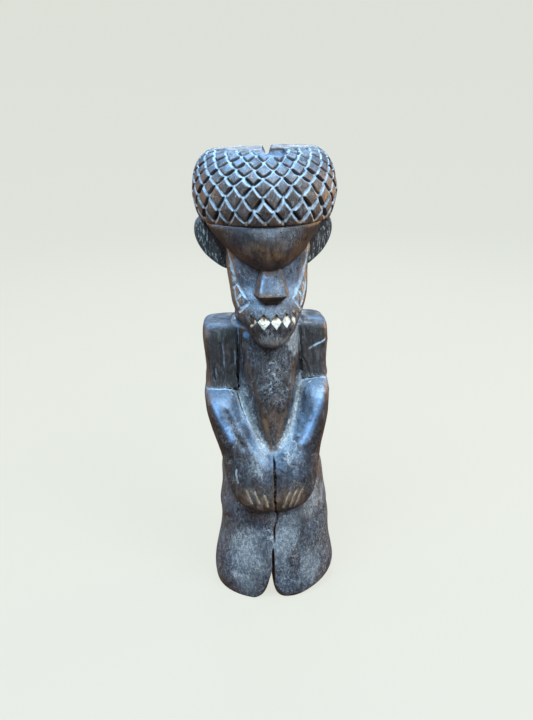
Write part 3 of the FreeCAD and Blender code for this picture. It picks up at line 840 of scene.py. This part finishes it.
def carved_wood():
    """Dark oiled hardwood: near black, brown where worn, a painted blue-grey sky sheen and painted highlights
    above, pale dust in the cuts.
    """
    s = Shader("carved_wood")
    up, hollow, deep = s.up(), s.attribute("hollow"), s.attribute("deep")
    groove, pit, rough, bloom, brown, gleam, dull = (
        s.attribute(name) for name in ("groove", "pit", "rough", "bloom", "brown", "painted_sheen", "dull")
    )
    blotch = s.ramp(s.noise(26, 5, 0.6), 0.40, 0.62)
    colour = s.mix(blotch, (0.014, 0.009, 0.007), (0.017, 0.018, 0.024))
    grain = s.noise(240, 6, 0.65, (1, 1, 0.1))
    colour = s.mix(s.ramp(grain, 0.48, 0.68, 0, 0.6), colour, (0.075, 0.056, 0.045))
    # worn brown places, and orange-brown on convex edges that don't face up: edge wear and a painted warm
    # reflection
    tan = s.ramp(s.noise(110, 6, 0.68, (1, 1, 0.45)), 0.36, 0.64)
    tan = s.mix(tan, (0.018, 0.010, 0.006), (0.135, 0.075, 0.040))
    colour = s.mix(s.times(brown, s.ramp(s.noise(60, 5, 0.6), 0.25, 0.6, 0.4, 1.0)), colour, tan)
    edge = s.times(s.ramp(hollow, -0.25, -0.9), s.ramp(s.noise(55, 4), 0.35, 0.62, 0.1, 0.8))
    colour = s.mix(s.times(edge, s.ramp(up, 0.8, 0.0, 0.2, 1.0)), colour, (0.15, 0.075, 0.038))
    # painted blue-grey sky sheen on what faces up, with painted highlights where the sheen mark is high
    ripple = s.math("SUBTRACT", s.noise(80, 6, 0.65, (1, 1, 0.45)), 0.5)
    height = s.math("ADD", up, s.math("MULTIPLY", ripple, 0.8))
    painted_sheen = s.times(s.ramp(height, 0.05, 0.8, 0, 0.95), s.ramp(brown, 0.0, 1.0, 1.0, 0.45))
    painted_sheen = s.math("ADD", painted_sheen, gleam, clamp=True)
    mottle = s.math("ADD", s.noise(60, 6, 0.7, (1, 1, 0.6)), s.math("MULTIPLY", s.noise(330, 5, 0.7), 0.5))
    cool = s.mix(s.ramp(mottle, 0.62, 0.88), (0.022, 0.034, 0.055), (0.10, 0.165, 0.25))
    # painted highlights in saturated blue
    blue = s.mix(s.ramp(mottle, 0.55, 0.9), (0.035, 0.075, 0.16), (0.15, 0.27, 0.44))
    cool = s.mix(s.ramp(gleam, 0.1, 0.9), cool, blue)
    colour = s.mix(painted_sheen, colour, cool)
    # dusty bloom with fine curling scratches
    fine = s.math("MULTIPLY", s.noise(1000, 3, 0.6), 0.4)
    speck = s.ramp(s.math("ADD", s.noise(400, 7, 0.78, (1, 1, 0.6), 0.4), fine), 0.69, 0.78)
    cloud = s.ramp(s.noise(34, 6, 0.65, (1, 1, 0.6)), 0.34, 0.62, 0.3, 1.0)
    film = s.math("ADD", s.math("MULTIPLY", speck, 0.75), s.ramp(bloom, 0.4, 0.85, 0.0, 0.42), clamp=True)
    colour = s.mix(s.times(film, cloud, bloom), colour, s.mix(bloom, (0.24, 0.33, 0.43), (0.40, 0.42, 0.41)))
    scratch = 0.0
    for size, shift in ((70, 1.4), (130, 2.2)):
        curl = s.math("ABSOLUTE", s.math("SUBTRACT", s.noise(size, 2, 0.5, (1, 1, 0.75), shift), 0.5))
        scratch = s.math("MAXIMUM", scratch, s.ramp(curl, 0.010, 0.002))
    scratch = s.times(scratch, s.ramp(s.noise(52, 4), 0.44, 0.56), s.ramp(bloom, 0.1, 0.8, 0.3, 1.0))
    colour = s.mix(s.math("MULTIPLY", scratch, 0.85), colour, (0.48, 0.47, 0.43))
    # rough cut faces, dull and nearly black with lighter upright fibres
    fibres = s.ramp(s.noise(260, 7, 0.72, (1, 1, 0.08), 0.3), 0.55, 0.70)
    raw = s.mix(s.ramp(s.noise(45, 5, 0.6), 0.4, 0.65), (0.006, 0.005, 0.004), (0.026, 0.020, 0.017))
    raw = s.mix(s.times(fibres, s.ramp(s.noise(30, 4), 0.35, 0.6, 0.3, 1.0)), raw, (0.17, 0.165, 0.16))
    flecks = s.ramp(s.noise(760, 6, 0.7, (1, 1, 0.22)), 0.54, 0.62)
    raw = s.mix(s.times(flecks, bloom), raw, (0.42, 0.43, 0.42))
    colour = s.mix(s.math("MULTIPLY", rough, 0.9), colour, raw)
    # dust in the cuts, with painted light on the hair's up-facing cut walls; painted shade in deep corners
    # and on the hair's steep cut walls, and dark cracks
    dust_and_lit_wall = s.times(s.ramp(groove, 0.1, 0.6), s.ramp(s.noise(170, 6, 0.7), 0.36, 0.6, 0.25, 1.0))
    powder = s.mix(s.ramp(brown, 0.75, 0.95), (0.34, 0.44, 0.52), (0.36, 0.28, 0.18))
    shade = s.math("MAXIMUM", s.ramp(deep, 0.2, 1.0, 0, 0.8), s.math("MULTIPLY", pit, 0.95))
    colour = s.mix(shade, colour, (0.010, 0.007, 0.006))
    colour = s.mix(s.math("MULTIPLY", dust_and_lit_wall, 0.8), colour, powder)
    s.feed(s.bsdf.inputs["Base Color"], colour)
    gloss = s.ramp(s.noise(90, 7, 0.7), 0.33, 0.67, 0.24, 0.52)
    gloss = s.math("ADD", gloss, s.math("MULTIPLY", s.math("MAXIMUM", s.times(speck, bloom), groove), 0.3))
    dull = s.times(dull, s.ramp(s.noise(70, 5, 0.6), 0.36, 0.56, 0.1, 0.4))
    gloss = s.math("ADD", gloss, s.math("ADD", s.math("MULTIPLY", rough, 0.32), dull), clamp=True)
    s.feed(s.bsdf.inputs["Roughness"], gloss)
    s.bsdf.inputs["Specular IOR Level"].default_value = 0.65
    relief = s.math("ADD", s.noise(300, 6, 0.66, (1, 1, 0.3)), s.math("MULTIPLY", s.noise(800, 4, 0.6), 0.4))
    s.bump(relief, 0.75, 0.0012)
    return s.material


def white_filler():
    s = Shader("white_filler")
    colour = s.mix(s.ramp(s.noise(260, 5, 0.65), 0.38, 0.66), (0.80, 0.76, 0.64), (0.40, 0.35, 0.26))
    lost = s.attribute("lost")
    colour = s.mix(s.ramp(lost, 0.08, 0.4), colour, (0.40, 0.31, 0.20))
    colour = s.mix(s.ramp(lost, 0.4, 0.85), colour, (0.07, 0.035, 0.018))
    s.feed(s.bsdf.inputs["Base Color"], colour)
    s.bsdf.inputs["Roughness"].default_value = 0.8
    s.bump(s.noise(700, 5, 0.6), 0.5, 0.0005)
    return s.material


# ---- assembly --------------------------------------------------------------------------------------
def place_fillers(clay):
    """The lumps of white clay, flush with their pockets, chipped at the top and partly lost at the ends."""
    for number in range(1, 6):
        node = f"mouth_filler_{number}"
        skin = Skin([node], FILLER_VOXEL)
        skin.follow(node, np.ones(len(skin.co)))
        low, high = box_mm(node)
        x, z = skin.co[:, 0], skin.co[:, 2]
        t = (z - low[2]) / (high[2] - low[2])
        chips = noise(skin.co, 2.6, 70 + number, 2)
        lost = smooth_step(t + chips * 0.3, 0.38, 1.0) + 0.2 * noise(skin.co, 1.3, 75 + number)
        if number == 1:
            outer_end = smooth_step(x + chips, high[0] - 1.2, high[0] - 2.6)
            lost = np.maximum(lost, outer_end * smooth_step(t, 0.15, 0.4))
        if number == 5:
            lost = np.maximum(lost, smooth_step(t + chips * 0.3, 0.5, 0.8))
        front = smooth_step(-skin.normals()[:, 1], 0.2, 0.7)
        skin.push(0.35 + 0.25 * front)
        skin.co[:, 1] += front * (lost * 1.3 + noise(skin.co, 1.6, 80 + number) * 0.15)
        skin.all_normals = skin.normals()
        skin.marks["lost"] = lost * front
        skin.piece(node + "_clay", [node], clay, "white_filler")


WOOD, CLAY = carved_wood(), white_filler()
for skin in (carve_crown(), carve_face(), carve_body()):
    for node in skin.nodes:
        rough = "ear" in node or "upper_arm" in node
        skin.piece(node + "_carved", [node], WOOD, "rough_wood" if rough else "dark_wood")
place_fillers(CLAY)

# ---- camera, floor and light -----------------------------------------------------------------------
CAMERA_DISTANCE, CAMERA_HEIGHT = 0.764, 0.497  # from the figure's axis and above the floor, m
CAMERA_AZIMUTH, CAMERA_PITCH, CAMERA_ROLL = math.radians(-5.0), math.radians(18.5), math.radians(-1.3)
CAMERA_SHIFT = -1 / 360  # of the picture's longer side
FLOOR_RADIUS, BEND_RADIUS, WALL_TOP = 2.2, 0.9, 5.0
FLOOR_SIDES = 64
LIGHTS = [  # name, place, height aimed at, size, power, colour
    ("key", (-0.45, -0.75, 1.8), 0.25, 1.0, 62, (0.52, 0.77, 1.0)),
    ("fill", (0.8, -1.0, 1.4), 0.25, 1.0, 46, (0.78, 0.90, 1.0)),
    ("back", (0.2, 1.6, 1.2), 0.25, 1.0, 18, (0.84, 0.93, 1.0)),
    ("rim_right", (1.3, 0.55, 0.35), 0.2, 0.5, 12, (1.0, 0.62, 0.30)),
    ("rim_left", (-1.3, 0.55, 0.35), 0.2, 0.5, 7, (1.0, 0.62, 0.30)),
]
SKY = [  # place, from 0 straight down to 1 straight up, and colour: warm and dim below, cool and bright above
    (0.30, (0.17, 0.10, 0.06, 1)),
    (0.55, (0.22, 0.235, 0.25, 1)),
    (1.0, (0.55, 0.95, 1.5, 1)),
]


def make_camera():
    data = bpy.data.cameras.new("camera")
    camera = bpy.data.objects.new("camera", data)
    bpy.context.scene.collection.objects.link(camera)
    bpy.context.scene.camera = camera
    data.lens, data.sensor_width = 40.0, 36.0
    data.shift_x = CAMERA_SHIFT
    x, y = CAMERA_DISTANCE * math.sin(CAMERA_AZIMUTH), -CAMERA_DISTANCE * math.cos(CAMERA_AZIMUTH)
    camera.matrix_world = (
        Matrix.Translation((x, y, CAMERA_HEIGHT))
        @ Matrix.Rotation(CAMERA_AZIMUTH, 4, "Z")
        @ Matrix.Rotation(math.radians(90) - CAMERA_PITCH, 4, "X")
        @ Matrix.Rotation(CAMERA_ROLL, 4, "Z")
    )


def make_backdrop():
    """A pale round floor that curves up into a wall on every side."""
    profile = [(0.02, 0.0), (0.6, 0.0), (1.4, 0.0), (FLOOR_RADIUS, 0.0)]
    for t in np.linspace(0, math.pi / 2, 20)[1:]:
        profile.append((FLOOR_RADIUS + BEND_RADIUS * math.sin(t), BEND_RADIUS - BEND_RADIUS * math.cos(t)))
    profile.append((FLOOR_RADIUS + BEND_RADIUS, WALL_TOP))
    turns = [2 * math.pi * k / FLOOR_SIDES for k in range(FLOOR_SIDES)]
    verts = [(r * math.cos(turn), r * math.sin(turn), z) for r, z in profile for turn in turns]
    faces = [tuple(reversed(range(FLOOR_SIDES)))]
    for i in range(len(profile) - 1):
        for k in range(FLOOR_SIDES):
            a, b = i * FLOOR_SIDES + k, i * FLOOR_SIDES + (k + 1) % FLOOR_SIDES
            faces.append((a, b, b + FLOOR_SIDES, a + FLOOR_SIDES))
    mesh = bpy.data.meshes.new("floor")
    mesh.from_pydata(verts, [], faces)
    mesh.polygons.foreach_set("use_smooth", [True] * len(faces))
    floor = bpy.data.objects.new("floor", mesh)
    bpy.context.scene.collection.objects.link(floor)
    material = bpy.data.materials.new("floor")
    material.use_nodes = True
    shader = material.node_tree.nodes["Principled BSDF"]
    shader.inputs["Base Color"].default_value = (0.05, 0.047, 0.04, 1)
    shader.inputs["Roughness"].default_value = 0.95
    shader.inputs["Specular IOR Level"].default_value = 0.1
    shader.inputs["Emission Color"].default_value = (0.81, 0.83, 0.755, 1)  # evenly lit studio paper
    shader.inputs["Emission Strength"].default_value = 0.86
    mesh.materials.append(material)
    # the sky is outside the wall, so the wall lets its light through
    floor.visible_diffuse = floor.visible_glossy = floor.visible_shadow = False


def area_light(name, place, aim, size, power, colour):
    data = bpy.data.lights.new(name, "AREA")
    data.shape, data.size, data.energy, data.color = "DISK", size, power, colour
    light = bpy.data.objects.new(name, data)
    light.location = place
    light.rotation_mode = "QUATERNION"
    light.rotation_quaternion = (Vector((0, 0, aim)) - Vector(place)).to_track_quat("-Z", "Y")
    bpy.context.scene.collection.objects.link(light)


def studio_sky():
    """Soft light from all round."""
    world = bpy.data.worlds.new("studio")
    bpy.context.scene.world = world
    world.use_nodes = True
    tree = world.node_tree
    split = tree.nodes.new("ShaderNodeSeparateXYZ")
    tree.links.new(tree.nodes.new("ShaderNodeTexCoord").outputs["Generated"], split.inputs[0])
    ramp = tree.nodes.new("ShaderNodeValToRGB")
    ramp.color_ramp.elements.new(SKY[1][0])
    for stop, (place, colour) in zip(ramp.color_ramp.elements, SKY):
        stop.position, stop.color = place, colour
    half = tree.nodes.new("ShaderNodeMapRange")
    half.inputs["From Min"].default_value = -1.0
    tree.links.new(split.outputs["Z"], half.inputs["Value"])
    tree.links.new(half.outputs["Result"], ramp.inputs["Fac"])
    tree.links.new(ramp.outputs["Color"], tree.nodes["Background"].inputs["Color"])
    tree.nodes["Background"].inputs["Strength"].default_value = 0.9


make_camera()
make_backdrop()
studio_sky()
for light in LIGHTS:
    area_light(*light)
bpy.context.scene.view_settings.view_transform = "Standard"
